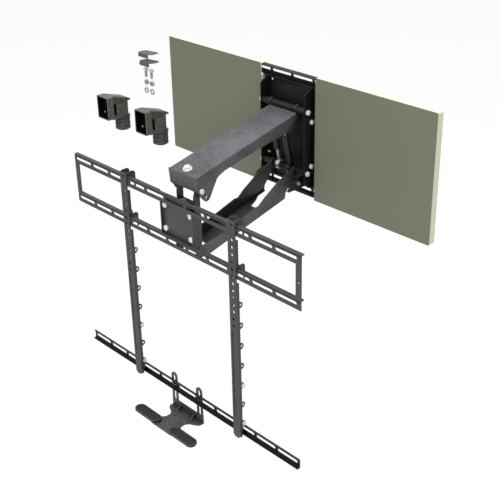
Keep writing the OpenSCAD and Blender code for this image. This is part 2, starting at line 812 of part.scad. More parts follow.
module shelf_pad(side) {
    rim = 2.5;
    color(rubber) translate([shelf_x + side * (pad_gap + pad_l) / 2, pad_y, 0])
        difference() {
            translate([0, 0, shelf_z]) linear_extrude(6) stadium(pad_l, pad_w);
            translate([0, 0, shelf_z + 4.5]) linear_extrude(3)
                stadium(pad_l - 2 * rim, pad_w - 2 * rim);
        }
}

module shelf_pad_left() { shelf_pad(-1); }
module shelf_pad_right() { shelf_pad(1); }

// Gas struts, from the lower wall pivot up to the upper arm

module on_strut(x) {
    translate([x, c_pt[0], c_pt[1]]) rotate([-strut_ang, 0, 0]) children();
}

// the eye of a strut round the lower hinge tube, with the stub of its shaft
module strut_eye(x, shaft, l) {
    difference() {
        union() {
            rod_x(x - 6, x + 6, c_pt, tube_d + 8);
            on_strut(x) cylinder(d = shaft, h = l);
        }
        rod_x(x - 9, x + 9, c_pt, tube_d + 2 * run + 0.1);
    }
}

// the head of a strut: a small ball end with a cross pin
module strut_head(x) {
    translate([0, 0, 0]) {
        rod_x(x - 7, x + 7, strut_top, 16);
        rod_x(x - 14.5, x + 14.5, strut_top, 6);
    }
}

module strut_left_rod() {
    color(silver) strut_eye(-strut_x, rod_d, strut_len - 29);
}

module strut_left_cylinder() {
    color(dark) {
        strut_head(-strut_x);
        on_strut(-strut_x) difference() {
            translate([0, 0, 50]) cylinder(d = strut_d, h = strut_len - 56);
            translate([0, 0, 49]) cylinder(d = rod_d + 0.2, h = strut_len - 59.5);
        }
    }
}

module strut_right_cylinder() {
    color(dark) difference() {
        strut_eye(strut_x, strut_d, strut_len - 44);
        on_strut(strut_x) translate([0, 0, 20])
            cylinder(d = rod_d + 0.2, h = strut_len);
    }
}

module strut_right_rod() {
    color(silver) {
        strut_head(strut_x);
        on_strut(strut_x) translate([0, 0, 40])
            cylinder(d = rod_d, h = strut_len - 46);
    }
}

// The loose kit, standing by itself in the photograph

box_h = 61;
box_w = 46;
box_d = 19;                      // depth of a handle's mouth with its back
grip_y = handle_y + 60;          // middle of a grip, behind its mouth
grip_top = handle_z + 8;
upper_d = 31;                    // the smooth part of a grip
ring_d = grip_d + 3;             // the collar under it
upper_l = 42;

// a thin-walled mouth on a neck and a sloping cap that reach back to the grip
module handle_box(n) {
    wall = 2.5;
    back = 3;
    color(rubber) translate([handle_x + n * handle_pitch, handle_y, handle_z])
        difference() {
            union() {
                rotate([-90, 0, 0]) linear_extrude(box_d) round_rect(box_w, box_h, 3);
                plate_x(-12, 24, [[box_d - 1, -22], [60, -22], [60, 16], [box_d - 1, 26]]);
                plate_x(-17, 34, [[box_d - 1, 8], [78, 8], [78, 11], [74, 14],
                                  [box_d + 3, box_h / 2], [box_d - 1, box_h / 2]]);
            }
            translate([0, -1, 0]) rotate([-90, 0, 0]) linear_extrude(box_d - back + 1)
                round_rect(box_w - 2 * wall, box_h - 2 * wall, 2);
            rod_y(-1, box_d + 1, -16, -18, 7);
            translate([0, 60, -60]) cylinder(d = upper_d + 2 * run, h = 68);
        }
}

// a grip turned in one piece: smooth neck, collar and three ribs
module handle_grip(n) {
    rib = 11;
    r = grip_d / 2;
    low = upper_l + 3;
    core = r - 2;
    color(rubber) translate([handle_x + n * handle_pitch, grip_y, grip_top])
        rotate_extrude() polygon(concat([[0, 0], [upper_d / 2, 0],
            [upper_d / 2, -upper_l], [ring_d / 2, -upper_l], [ring_d / 2, -low],
            [core, -low]],
            [for (i = [0 : 2]) each
                [[core, -low - i * rib - 2], [r, -low - i * rib - 4],
                 [r, -low - i * rib - rib + 1], [core, -low - i * rib - rib]]],
            [[core - 3, -grip_l], [0, -grip_l]]));
}

module handle_left_box() { handle_box(0); }
module handle_right_box() { handle_box(1); }
module handle_left_grip() { handle_grip(0); }
module handle_right_grip() { handle_grip(1); }

// two flat tabs, each with a lip turned down along its front
module cable_clips() {
    sheet = 1.5;
    color(black) for (i = [0, 1])
        translate([-113 + 2 * i, frame_y + 5, bz + 330 - 21 * i]) difference() {
            union() {
                linear_extrude(sheet) polygon([[0, 3], [3, 0], [39, 0], [44, 20],
                    [45, 29], [38, 29], [7, 20], [0, 11]]);
                block([3, 0, -6.5], [38, sheet, 1]);
            }
            translate([18, 12.5, -1]) cylinder(d = 6, h = sheet + 2);
            translate([34, 21, -1]) linear_extrude(sheet + 2) stadium(8, 4);
        }
}

module loose_bolts() {
    color(white) for (i = [0, 1]) translate([-90 + 21 * i, frame_y + 8, bz + 291]) {
        cylinder(d1 = 13, d2 = 9, h = 4.5);
        translate([0, 0, -18]) cylinder(d = 6, h = 18 + eps);
    }
}

module loose_nuts() {
    color(white) for (i = [0, 1])
        translate([-93 + 21 * i, frame_y + 8, bz + 259]) rotate([-90, 0, 0])
            difference() {
                union() {
                    cylinder(d = 13, h = 3, $fn = 6);
                    cylinder(d = 12, h = 5.5);
                }
                translate([0, 0, -1]) cylinder(d = 5, h = 8);
            }
}

module loose_washers() {
    color(white) for (i = [0, 1])
        translate([-93 + 22 * i, frame_y + 8, bz + 239]) rotate([-90, 0, 0])
            difference() {
                cylinder(d = 15, h = 2);
                translate([0, 0, -1]) cylinder(d = 8, h = 4);
            }
}

wall_plate();
arm_bracket();
cover_left();
cover_right();
side_bolts();
stop_lugs();
stop_lug_bolts();
wall_pin_upper();
wall_pin_lower();
upper_arm();
upper_hinge_tube();
upper_gussets();
strut_lugs();
travel_bolt();
column_pin_upper();
lower_arm();
lower_hinge_tube();
lower_stop_lug();
column_pin_lower();
column_posts();
column_sleeves();
swivel_lugs();
swivel_pin();
yoke();
yoke_bolts();
swivel_hub();
frame_top_rail();
frame_bottom_rail();
frame_end_bars();
bracket_left();
bracket_right();
extension_left();
extension_right();
clamp_bolts();
sound_bar_rail();
bar_bolts();
shelf_plate();
shelf_bolts();
shelf_pad_left();
shelf_pad_right();
strut_left_rod();
strut_left_cylinder();
strut_right_cylinder();
strut_right_rod();
handle_left_box();
handle_left_grip();
handle_right_box();
handle_right_grip();
cable_clips();
loose_bolts();
loose_nuts();
loose_washers();
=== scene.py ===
# %% [markdown]
# # A pull-down television wall mount
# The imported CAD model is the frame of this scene. Every bracket, arm and bolt
# comes from it already in its real size, so this script gives it its finishes,
# adds the small parts that CAD leaves out, and lights it like a catalogue picture.

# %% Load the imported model
import math

import bmesh
import bpy
from mathutils import Matrix, Vector


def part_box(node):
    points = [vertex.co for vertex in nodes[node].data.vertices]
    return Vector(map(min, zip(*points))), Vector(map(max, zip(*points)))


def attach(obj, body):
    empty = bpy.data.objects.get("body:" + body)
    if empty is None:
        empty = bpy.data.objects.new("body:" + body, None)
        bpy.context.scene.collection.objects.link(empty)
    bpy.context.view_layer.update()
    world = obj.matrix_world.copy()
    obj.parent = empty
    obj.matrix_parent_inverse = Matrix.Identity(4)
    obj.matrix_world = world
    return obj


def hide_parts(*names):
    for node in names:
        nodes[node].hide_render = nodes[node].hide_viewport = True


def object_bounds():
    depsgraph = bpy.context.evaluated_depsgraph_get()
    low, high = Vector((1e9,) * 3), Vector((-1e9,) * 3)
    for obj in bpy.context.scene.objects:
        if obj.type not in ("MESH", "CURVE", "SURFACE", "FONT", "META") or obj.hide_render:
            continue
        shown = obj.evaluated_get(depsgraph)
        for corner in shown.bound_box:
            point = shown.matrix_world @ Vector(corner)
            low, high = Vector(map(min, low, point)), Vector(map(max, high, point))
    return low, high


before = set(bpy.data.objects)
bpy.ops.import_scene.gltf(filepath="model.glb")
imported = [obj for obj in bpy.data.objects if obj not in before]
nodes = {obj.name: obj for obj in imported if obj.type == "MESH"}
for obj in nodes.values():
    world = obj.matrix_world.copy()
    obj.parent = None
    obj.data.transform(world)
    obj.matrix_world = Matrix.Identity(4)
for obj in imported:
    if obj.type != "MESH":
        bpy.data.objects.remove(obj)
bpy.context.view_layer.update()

# %% [markdown]
# ## Sizes
# Blender works in metres and the workshop in millimetres. One small constant
# turns the one into the other, so every number below can stay a workshop number.
# New parts take their places from the boxes of the CAD nodes that carry them,
# rather than from typed coordinates, so they can't miss their seats.

# %% Units
MM = 0.001


def span(node):
    """Lowest and highest corner of a CAD node, in metres."""
    low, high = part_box(node)
    return Vector(low), Vector(high)


frame_low, frame_high = span("frame_top_rail")
print("frame width, mm:", round((frame_high.x - frame_low.x) / MM))

# %% [markdown]
# ## Colour
# Colours are written as sRGB hex, the way a paint chart gives them. Shaders work
# in linear light, so one function turns each pair of hex digits to linear. Its
# numbers are those of the sRGB curve.


# %% Hex to linear
def linear(hex_colour):
    """RGBA in linear light from a string such as "#55554f"."""
    parts = [int(hex_colour[i:i + 2], 16) / 255 for i in (1, 3, 5)]
    return [p / 12.92 if p <= 0.04045 else ((p + 0.055) / 1.055) ** 2.4
            for p in parts] + [1.0]


# %% [markdown]
# ## Shader nodes
# A node takes four lines to add, set and connect by hand. One function does it in
# one call, for a material and for the world, which both hold a node tree.


# %% Add a node
def add(owner, kind, links=(), values=(), **settings):
    """Adds one node to a material or to the world.

    links are (socket, output) pairs and values are (socket, value) pairs. Each
    setting is an option of the node or, if it has none so named, a socket."""
    node = owner.node_tree.nodes.new(kind)
    for name, value in settings.items():
        if hasattr(node, name):
            setattr(node, name, value)
        else:
            node.inputs[name].default_value = value
    for socket, value in values:
        node.inputs[socket].default_value = value
    for socket, output in links:
        owner.node_tree.links.new(output, node.inputs[socket])
    return node


def new_material(name, hex_colour, roughness, metallic=0.0, shine=0.5):
    """A material and its Principled shader, set to one plain finish."""
    material = bpy.data.materials.new(name)
    material.use_nodes = True
    shader = material.node_tree.nodes["Principled BSDF"]
    shader.inputs["Base Color"].default_value = linear(hex_colour)
    shader.inputs["Roughness"].default_value = roughness
    shader.inputs["Metallic"].default_value = metallic
    shader.inputs["Specular IOR Level"].default_value = shine
    return material, shader


# %% [markdown]
# ## Painted edge highlights
# Along bends and cut edges each coat is given a lighter colour: a painted highlight
# for the light that a rounded edge catches. The edges could be painted by hand or
# found from the mesh, but the Bevel node finds them by itself: it rounds the normal
# near an edge, and the more the rounded normal turns from the flat one, the more of an
# edge it is.

# %% Edge mask
SHADER_SAMPLES = 4
EDGE_STARTS, EDGE_FULL = 0.995, 0.85


def edge_mask(material, radius_mm):
    """0 on flat sheet and 1 along its edges.

    EDGE_STARTS and EDGE_FULL are cosines of the angle that the normal turns."""
    bevel = add(material, "ShaderNodeBevel", Radius=radius_mm * MM,
                samples=SHADER_SAMPLES)
    flat = add(material, "ShaderNodeNewGeometry")
    same = add(material, "ShaderNodeVectorMath",
               [(0, bevel.outputs["Normal"]), (1, flat.outputs["Normal"])],
               operation="DOT_PRODUCT")
    mask = add(material, "ShaderNodeMapRange", [("Value", same.outputs["Value"])],
               [("From Min", EDGE_STARTS), ("From Max", EDGE_FULL)])
    return mask.outputs["Result"]


# %% [markdown]
# ## Painted shade in the nooks
# Deep in a channel or behind a plate the shade is darker than the lamps alone leave
# it, because they are large and soft. So the shade is painted: the ambient occlusion
# node measures how closed in a point is, and its result dims the colour.

# %% Nook shade
NOOK_SHADE = 0.12
NOOK_CLOSED, NOOK_OPEN = 0.3, 0.9


def painted_nook_shade(material, nook_mm):
    """Painted shade: NOOK_SHADE where things close in within nook_mm, and 1 in the open.
    """
    nook = add(material, "ShaderNodeAmbientOcclusion", Distance=nook_mm * MM,
               samples=SHADER_SAMPLES)
    depth = add(material, "ShaderNodeMapRange", [("Value", nook.outputs["AO"])],
                [("From Min", NOOK_CLOSED), ("From Max", NOOK_OPEN),
                 ("To Min", NOOK_SHADE)])
    return depth.outputs["Result"]


# %% [markdown]
# ## Speckle
# Powder melts into small hills that scatter the light, so the coat looks speckled.
# A picture of a real coat could be laid over the parts, but it would repeat and need
# unwrapping. A noise texture needs neither: its value at a point picks a colour
# between a dark and a light one, and a much wider noise shifts the choice a little,
# as the coat's thickness does.

# %% Speckled colour
DRIFT_MM, DRIFT = 70, 0.25
ALL_DARK, ALL_LIGHT = 0.38, 0.62


def speckle(material, place, grain, dark_hex, light_hex):
    """Runs from the dark to the light colour with the grain."""
    wide = add(material, "ShaderNodeTexNoise", [("Vector", place)],
               Scale=1 / (DRIFT_MM * MM), Detail=1.0)
    drift = add(material, "ShaderNodeMath", [(0, wide.outputs["Fac"])],
                [(1, DRIFT), (2, -DRIFT / 2)], operation="MULTIPLY_ADD")
    speck = add(material, "ShaderNodeMath", [(0, grain), (1, drift.outputs[0])],
                operation="ADD")
    ramp = add(material, "ShaderNodeValToRGB", [("Fac", speck.outputs[0])])
    stops = ((ALL_DARK, dark_hex), (ALL_LIGHT, light_hex))
    for stop, (position, hex_colour) in zip(ramp.color_ramp.elements, stops):
        stop.position = position
        stop.color = linear(hex_colour)
    return ramp.outputs["Color"]


# %% [markdown]
# ## Grained skin
# Powder coat, rubber from a spark-worn mould and textured ABS have the same build:
# a fine grain in colour and height and bends with a small radius. Here all of them
# also get a painted highlight along their edges and painted shade in their nooks.
# So one function makes them all. Real grain is under a millimetre here and would
# vanish in a 500 pixel picture, so it is drawn 1.6 to 4 mm wide.
# The bump gets a rounded normal too, so a sharp CAD bend shades as a real one.

# %% Grained skin
BEND_MM = 0.7
GRAIN_DETAIL, GRAIN_COARSENESS, GRAIN_BUMP = 2.0, 0.55, 0.5


def grained(name, dark_hex, light_hex, roughness, grain_mm, depth_mm,
            edge_highlight_hex=None, edge_highlight_mm=0.8, nook_mm=60, shine=0.5):
    """A coat or moulded skin with grain, a painted highlight along its edges and painted
    shade in its nooks.
    """
    material, shader = new_material(name, dark_hex, roughness, shine=shine)
    place = add(material, "ShaderNodeTexCoord").outputs["Object"]
    noise = add(material, "ShaderNodeTexNoise", [("Vector", place)],
                Scale=1 / (grain_mm * MM), Detail=GRAIN_DETAIL,
                Roughness=GRAIN_COARSENESS)
    grain = noise.outputs["Fac"]
    colour = speckle(material, place, grain, dark_hex, light_hex)
    # Painted highlight: a lighter colour is mixed in along the edges.
    if edge_highlight_hex:
        mix = add(material, "ShaderNodeMix",
                  [("Factor", edge_mask(material, edge_highlight_mm)), (6, colour)],
                  [(7, linear(edge_highlight_hex))], data_type="RGBA")
        colour = mix.outputs[2]
    # Painted shade: the colour is dimmed in the nooks.
    shaded = add(material, "ShaderNodeVectorMath",
                 [(0, colour), (1, painted_nook_shade(material, nook_mm))],
                 operation="MULTIPLY")
    bevel = add(material, "ShaderNodeBevel", Radius=BEND_MM * MM,
                samples=SHADER_SAMPLES)
    bump = add(material, "ShaderNodeBump",
               [("Height", grain), ("Normal", bevel.outputs["Normal"])],
               Strength=GRAIN_BUMP, Distance=depth_mm * MM)
    links = material.node_tree.links
    links.new(shaded.outputs["Vector"], shader.inputs["Base Color"])
    links.new(bump.outputs["Normal"], shader.inputs["Normal"])
    return material


# %% [markdown]
# ## Powder-coated steel
# Every bent sheet of the mount is powder coated: dry paint is sprayed on and baked.
# Small lugs and bars are dipped instead, in a bath that lays a thin smooth film with
# the help of a current. One coat for all would be simpler, but the photograph shows
# several, so each group of parts has its own. The arms get their nook shade from
# further off, because the wall side closes in on their rear ends.

# %% Coats
# In each coat that has one, the colour after the grain sizes is a painted highlight along
# its edges.
# Coarse powder, sprayed thick: pale grains on a dark ground.
arm_coat = grained("powder-coated steel, textured", "#242424", "#68686a",
                   0.5, 2.6, 0.6, "#7c7c75", nook_mm=240)
# Fine powder with a trace of olive, and a pale painted highlight along cut edges.
rail_coat = grained("powder-coated steel, fine", "#30302c", "#3e3e38",
                    0.5, 1.8, 0.2, "#6c6c64")
# The same powder, more even, on the column and its yoke.
web_coat = grained("powder-coated steel, column", "#363633", "#444441",
                   0.5, 1.6, 0.3, "#70706a")
# Coarse powder again, with a fainter painted edge highlight, on the sound bar's shelf. Its
# painted nook shade reaches further, so the corner where its plates meet goes dark.
shelf_coat = grained("powder-coated steel, shelf", "#202020", "#585858",
                     0.5, 2.6, 0.4, "#5c5c5c", nook_mm=110)
# A fine, slightly bluish powder on the small clips.
clip_coat = grained("powder-coated steel, clips", "#38383e", "#54545c",
                    0.5, 1.8, 0.2, "#62626a", nook_mm=20)
# A smooth black powder, made darker still as painted shade for the rail's shadowed
# channel, with a pale painted highlight on the edges that shows every slot.
bar_black_and_shade = grained("powder-coated steel, gloss black, darkened as painted shade", "#080808", "#101010",
                   0.4, 1.8, 0.1, "#90908a", 1.2, shine=0.15)
# A dipped dark film, darkened to almost black as painted shade, because the bars show only
# deep in the brackets' slots. They give almost nothing back.
inner_coat_and_shade = grained("e-coated steel, inner bars, darkened as painted shade", "#050505", "#0a0a0a",
                     0.6, 1.8, 0.1, shine=0.15)
# Nearly black powder on all that sits between the wall and the arms.
wall_coat = grained("powder-coated steel, wall side", "#0e0e0d", "#191918",
                    0.5, 1.8, 0.2, "#30302e", shine=0.25)
# A dipped film with a satin face on lugs, sleeves and cylinders.
dark_coat = grained("e-coated steel, satin black", "#101010", "#181818",
                    0.4, 1.8, 0.1, "#303030")
print("coats:", arm_coat.name, rail_coat.name, wall_coat.name, dark_coat.name)

# %% [markdown]
# ## Plated steel, rubber and plastic
# The bolts, rods, pads and handles aren't coated. Their heads and rods are so small
# in the picture that a plain metal with a soft reflection says all that can be seen.
# The moulded parts have a grain from their moulds, so they take the grained skin.

# %% Metals and moulded parts
# Steel under a thin layer of zinc: pale, nearly white in soft light.
zinc, _ = new_material("zinc-plated steel", "#e6e6e2", 0.35, 0.3)
# The same layer on the loose bolts, dulled by rubbing in a bag.
kit_zinc, _ = new_material("zinc-plated steel, dull", "#a0a09c", 0.4, 0.4)
# Steel ground round for a seal: a brighter metal with narrower lights.
bright, _ = new_material("ground bright steel", "#c8c8c0", 0.3, 0.8)
# Painted shade: a matt black for the deep shade in the handles' mouths and slots.
# A grazing light would still turn it grey, so it has hardly any shine.
mouth_shade_black, _ = new_material("black lining, painted shade", "#030303", 0.9, shine=0.05)
# Rubber from a mould, fine in grain, with a painted highlight on its rim.
pad_rubber = grained("moulded rubber", "#181815", "#22221e", 0.42, 1.8, 0.1,
                     "#77776c", 1.6, shine=0.35)
# Softer rubber with a silky skin and a painted highlight on its ribs.
grip_rubber = grained("soft-touch grip rubber", "#30302d", "#4c4c47",
                      0.6, 3.0, 0.1, "#6c6c64", nook_mm=20)
# ABS from a spark-worn mould: a wide, shallow grain with a soft sheen.
handle_abs = grained("moulded ABS, black", "#3c3c38", "#62625c", 0.45, 4.0, 0.1,
                     "#63635c", nook_mm=40)
print("plated and ground:", zinc.name, kit_zinc.name, bright.name)
print("moulded:", pad_rubber.name, grip_rubber.name, handle_abs.name)

# %% [markdown]
# ## Side covers
# The covers are formed trays of pale cream plastic. Their forward faces are given a
# darker olive grey, which is painted shade, and all other faces the cream. Two materials
# on one mesh would do, but a CAD node's mesh is left alone, so one material picks the
# colour by which way each face looks. A small rounded normal softens the tray's corners.

# %% Cover plastic
COVER_SHADED_FRONT, COVER_CREAM = "#6b6d5b", "#e4e2c6"
LOOKS_FORWARD = -0.7
COVER_BEND_MM = 1.5


def cover_plastic():
    """Painted shade, olive grey, where a face looks forward, along -Y, and plain cream
    elsewhere.
    """
    material, shader = new_material("cream polystyrene sheet, painted front shade", COVER_SHADED_FRONT, 0.6)
    normal = add(material, "ShaderNodeNewGeometry").outputs["True Normal"]
    parts = add(material, "ShaderNodeSeparateXYZ", [("Vector", normal)])
    front = add(material, "ShaderNodeMath", [(0, parts.outputs["Y"])],
                [(1, LOOKS_FORWARD)], operation="LESS_THAN")
    bevel = add(material, "ShaderNodeBevel", Radius=COVER_BEND_MM * MM,
                samples=SHADER_SAMPLES)
    # The forward faces get the olive grey as painted shade.
    mix = add(material, "ShaderNodeMix", [("Factor", front.outputs[0])],
              [(6, linear(COVER_CREAM)), (7, linear(COVER_SHADED_FRONT))], data_type="RGBA")
    links = material.node_tree.links
    links.new(mix.outputs[2], shader.inputs["Base Color"])
    links.new(bevel.outputs["Normal"], shader.inputs["Normal"])
    return material


cover_sheet = cover_plastic()
print("cover:", cover_sheet.name)

# %% [markdown]
# ## Finishes of the CAD nodes
# One table says what each CAD node is made of. It reads like a shop's finish list,
# and a node that is missing from it would show at once in the count that is printed.

# %% Give every CAD node its finish
finishes = {
    arm_coat: ["upper_arm", "lower_arm"],
    shelf_coat: ["shelf_plate"],
    bar_black_and_shade: ["sound_bar_rail"],
    inner_coat_and_shade: ["extension_left", "extension_right"],
    rail_coat: ["frame_top_rail", "frame_bottom_rail", "frame_end_bars",
                "bracket_left", "bracket_right", "cable_clips", "upper_gussets"],
    wall_coat: ["wall_plate", "arm_bracket", "upper_hinge_tube",
                "lower_hinge_tube", "strut_lugs"],
    web_coat: ["yoke", "column_posts"],
    dark_coat: ["stop_lugs", "lower_stop_lug", "column_sleeves", "swivel_lugs",
                "swivel_hub", "strut_left_cylinder", "strut_right_cylinder",
                "shelf_bolts"],
    cover_sheet: ["cover_left", "cover_right"],
    zinc: ["side_bolts", "wall_pin_upper", "wall_pin_lower", "travel_bolt",
           "column_pin_upper", "column_pin_lower", "yoke_bolts", "clamp_bolts",
           "bar_bolts"],
    kit_zinc: ["loose_bolts", "loose_nuts", "loose_washers"],
    bright: ["stop_lug_bolts", "swivel_pin", "strut_left_rod", "strut_right_rod"],
    pad_rubber: ["shelf_pad_left", "shelf_pad_right"],
    grip_rubber: ["handle_left_grip", "handle_right_grip"],
    handle_abs: ["handle_left_box", "handle_right_box"],
}
for material, names in finishes.items():
    for name in names:
        nodes[name].data.materials.clear()
        nodes[name].data.materials.append(material)
print("finished nodes:", sum(map(len, finishes.values())), "of", len(nodes))

# %% [markdown]
# ## Small parts that CAD leaves out
# Three things show only from close by, so they are made here: the domed caps on the
# disc bolt heads, the threads of the two loose bolts, and the weld beads where the
# hinge tubes pass through the arms. Each one is built on the CAD node that carries
# it and rides on that node's body.
#
# A cap is a turned shape, so a spin makes it. A thread and a ripple of weld change
# along their way, which a spin can't do, so a row of rings is joined into a tube.

# %% Turned and swept shapes
TURN_STEPS = 32


def turned(builder, profile, centre, axis):
    """Spins (radius, height) pairs, in millimetres, round an axis."""
    axis, centre = Vector(axis).normalized(), Vector(centre)
    across = axis.orthogonal().normalized()
    points = [builder.verts.new(centre + (across * r + axis * h) * MM)
              for r, h in profile]
    lines = [builder.edges.new(pair) for pair in zip(points, points[1:])]
    bmesh.ops.spin(builder, geom=points + lines, cent=centre, axis=axis,
                   angle=2 * math.pi, steps=TURN_STEPS, use_merge=True)


def swept(builder, rings, endless=False):
    """Joins equal rings of points into a tube: endless, or with closed ends."""
    loops = [[builder.verts.new(p) for p in ring] for ring in rings]
    following = loops[1:] + loops[:1] if endless else loops[1:]
    count = len(loops[0])
    for one, two in zip(loops, following):
        for i in range(count):
            j = (i + 1) % count
            builder.faces.new((one[i], one[j], two[j], two[i]))
    if not endless:
        builder.faces.new(loops[0][::-1])
        builder.faces.new(loops[-1])


# %% [markdown]
# A piece is finished the same way each time: doubled points are merged, its faces
# are turned outwards, and round stretches are shaded smooth while edges sharper
# than the given angle stay crisp.

# %% Finished pieces
MERGE = 1e-7


def finished(name, builder, material, body, sharp_degrees=40):
    """Turns a bmesh into a piece that rides on a CAD body."""
    bmesh.ops.remove_doubles(builder, verts=builder.verts, dist=MERGE)
    bmesh.ops.recalc_face_normals(builder, faces=builder.faces)
    mesh = bpy.data.meshes.new(name)
    builder.to_mesh(mesh)
    builder.free()
    mesh.polygons.foreach_set("use_smooth", [True] * len(mesh.polygons))
    mesh.set_sharp_from_angle(angle=math.radians(sharp_degrees))
    mesh.materials.append(material)
    piece = bpy.data.objects.new(name, mesh)
    bpy.context.scene.collection.objects.link(piece)
    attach(piece, body)
    return piece


# %% [markdown]
# ## Domed caps
# The disc heads are pressed caps: a low dome with a soft rim. The dome's foot lies
# on the flat CAD disc, so it can't float. Its profile is given in shares of the
# head's radius and of the dome's rise, so the same dome fits every head.

# %% Domes
CAP_RISE_MM = 1.6
CAP_PROFILE = [(0.0, 1.0), (0.25, 0.97), (0.5, 0.86), (0.7, 0.66), (0.85, 0.4),
               (0.95, 0.16), (1.0, 0.0)]
CAP_SHARP = 60


def caps(name, spots, radius_mm, axis, body):
    """One piece with a dome at each spot, all of them facing along axis."""
    builder = bmesh.new()
    profile = [(share * radius_mm, rise * CAP_RISE_MM) for share, rise in CAP_PROFILE]
    for spot in spots:
        turned(builder, profile + [(0.0, 0.0)], spot, axis)
    return finished(name, builder, zinc, body, CAP_SHARP)


# %% Caps on the wall side and on the pins
PIN_HEAD_R, LOW_PIN_HEAD_R = 7.0, 6.5
low, high = span("side_bolts")
side_r = (high.y - low.y) / 2
middle_y = (low.y + high.y) / 2
for side_name, x, facing in (("right", high.x, 1), ("left", low.x, -1)):
    caps("side_caps_" + side_name,
         [(x, middle_y, z) for z in (low.z + side_r, high.z - side_r)],
         side_r / MM, (facing, 0, 0), "wall_side")
for node, body, radius in (("wall_pin_upper", "wall_side", PIN_HEAD_R),
                           ("wall_pin_lower", "wall_side", PIN_HEAD_R),
                           ("column_pin_upper", "upper_arm_body", PIN_HEAD_R),
                           ("column_pin_lower", "lower_arm_body", LOW_PIN_HEAD_R)):
    low, high = span(node)
    centre = (low + high) / 2
    caps(node + "_cap", [(high.x, centre.y, centre.z)], radius, (1, 0, 0), body)

# %% Caps on the yoke
YOKE_HEAD_R = 7.75
low, high = span("yoke_bolts")
inset = YOKE_HEAD_R * MM
caps("yoke_caps", [(x, low.y, z) for x in (low.x + inset, high.x - inset)
                   for z in (low.z + inset, high.z - inset)],
     YOKE_HEAD_R, (0, -1, 0), "television_side")
print("caps made on", CAP_RISE_MM, "mm domes")

# %% [markdown]
# ## Threads
# A thread is one ridge wound round the shank. A bump could only fake it, because
# the bolts stand against white and their outline shows. Its section is a triangle,
# 1 mm from turn to turn. Rings of three points, each a little further round and up,
# follow the helix with their foot sunk in the shank. The ridge runs out at its ends
# to almost nothing, because a face needs some area.

# %% Threads of the loose bolts
PITCH_MM, SHANK_R_MM, RIDGE_MM, THREAD_L_MM = 1.0, 3.0, 0.45, 15.0
RIDGE_WIDTH, SUNK_MM, THREAD_START_MM = 0.84, 0.1, 0.5
LEAST_RIDGE = 0.02
STEPS_A_TURN = 20
LOOSE_HEAD_R = 6.5
low, high = span("loose_bolts")
bolt_r = LOOSE_HEAD_R * MM
bolt_y = (low.y + high.y) / 2
steps = int(THREAD_L_MM / PITCH_MM * STEPS_A_TURN)
half = Vector((0, 0, RIDGE_WIDTH / 2 * PITCH_MM * MM))
builder = bmesh.new()
for x in (low.x + bolt_r, high.x - bolt_r):
    rings = []
    for i in range(steps + 1):
        angle = 2 * math.pi * i / STEPS_A_TURN
        out = Vector((math.cos(angle), math.sin(angle), 0))
        z = low.z + (THREAD_START_MM + PITCH_MM * i / STEPS_A_TURN) * MM
        centre = Vector((x, bolt_y, z))
        height = RIDGE_MM * max(LEAST_RIDGE,
                                min(1, i / STEPS_A_TURN, (steps - i) / STEPS_A_TURN))
        foot = centre + out * (SHANK_R_MM - SUNK_MM) * MM
        rings.append([foot - half, centre + out * (SHANK_R_MM + height) * MM,
                      foot + half])
    swept(builder, rings)
finished("loose_bolt_threads", builder, kit_zinc, "television_side")
print("thread turns:", round(THREAD_L_MM / PITCH_MM))

# %% [markdown]
# ## Weld beads
# A weld bead is a row of small overlapping ripples. It could be a plain ring, but
# the ripples are what tells a weld from a washer. So its round section is swept
# round the tube and swells a little at every ripple. The bead is coated after
# welding, so it has the tube's finish.

# %% Weld beads at the hinge tubes
BEAD_MM, SWELL, RIPPLES = 1.0, 0.12, 34
BEAD_STEPS, BEAD_SIDES = 170, 8
BEAD_SHARP = 60


def tube_welds(name, node, wall_xs, body):
    """A bead round the tube in this node at each of the given walls."""
    low, high = span(node)
    centre = (low + high) / 2
    radius = (high.z - low.z) / 2
    along = Vector((1, 0, 0))
    section = [2 * math.pi * k / BEAD_SIDES for k in range(BEAD_SIDES)]
    builder = bmesh.new()
    for x in wall_xs:
        rings = []
        for i in range(BEAD_STEPS):
            angle = 2 * math.pi * i / BEAD_STEPS
            swell = BEAD_MM * MM * (1 + SWELL * math.cos(RIPPLES * angle))
            out = Vector((0, math.cos(angle), math.sin(angle)))
            heart = Vector((x, centre.y, centre.z)) + out * radius
            rings.append([heart + swell * (out * math.cos(t) + along * math.sin(t))
                          for t in section])
        swept(builder, rings, endless=True)
    return finished(name, builder, wall_coat, body, BEAD_SHARP)


ARM_SHEET = 3 * MM
low, high = span("upper_gussets")
tube_welds("upper_tube_welds", "upper_hinge_tube", (low.x, high.x), "upper_arm_body")
low, high = span("lower_arm")
tube_welds("lower_tube_welds", "lower_hinge_tube",
           (low.x, high.x, low.x + ARM_SHEET, high.x - ARM_SHEET), "lower_arm_body")
print("weld beads: 2 on the upper tube, 4 on the lower")

# %% [markdown]
# ## Plates from outlines
# Housings, caps and clips are flat outlines made thick. Faces could be listed by
# hand, but two operators do it for any outline, with or without holes: a triangle
# fill closes the outline, and an extrusion gives it its thickness.


# %% Plates
def fill(builder, loops, place):
    """Closes flat loops of (u, v) points. A loop inside another is a hole."""
    edges = []
    for loop in loops:
        points = [builder.verts.new(place(u, v)) for u, v in loop]
        edges += [builder.edges.new((points[i - 1], points[i]))
                  for i in range(len(points))]
    flat = bmesh.ops.triangle_fill(builder, edges=edges, use_beauty=True)["geom"]
    return [item for item in flat if isinstance(item, bmesh.types.BMFace)]


def raise_faces(builder, faces, offset):
    """Extrudes flat faces by a vector, which leaves a closed plate."""
    raised = bmesh.ops.extrude_face_region(builder, geom=faces)["geom"]
    bmesh.ops.translate(builder, vec=offset,
                        verts=[item for item in raised
                               if isinstance(item, bmesh.types.BMVert)])


